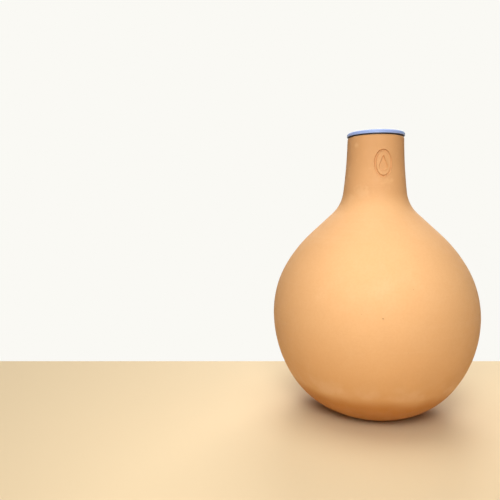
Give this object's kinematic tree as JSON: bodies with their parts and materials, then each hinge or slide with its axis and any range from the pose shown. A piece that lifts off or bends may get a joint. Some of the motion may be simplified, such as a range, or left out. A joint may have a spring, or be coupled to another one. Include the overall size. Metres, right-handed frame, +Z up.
{
  "type": "irrigation olla",
  "caption": "Unglazed clay irrigation olla: a round-bellied, long-necked vessel that is buried to its neck and seeps water to plant roots, with a push-in silicone lid.",
  "frame": {"origin": "centre of the flat foot, on the ground", "axes": "+Z up along the vessel's axis, out of its mouth; +X to the right and +Y to the back, with -Y the side that bears the stamped mark"},
  "size_m": [0.23, 0.23, 0.3179],
  "materials": {
    "clay": "matte",
    "silicone": "satin"
  },
  "bodies": {
    "vessel": {"vessel": "clay"},
    "lid": {"lid": "silicone"}
  },
  "joints": [
    {"name": "lid_lift", "type": "slide", "parent": "vessel", "child": "lid", "axis": [0, 0, 1], "range_m": [0, 0.06]}
  ]
}
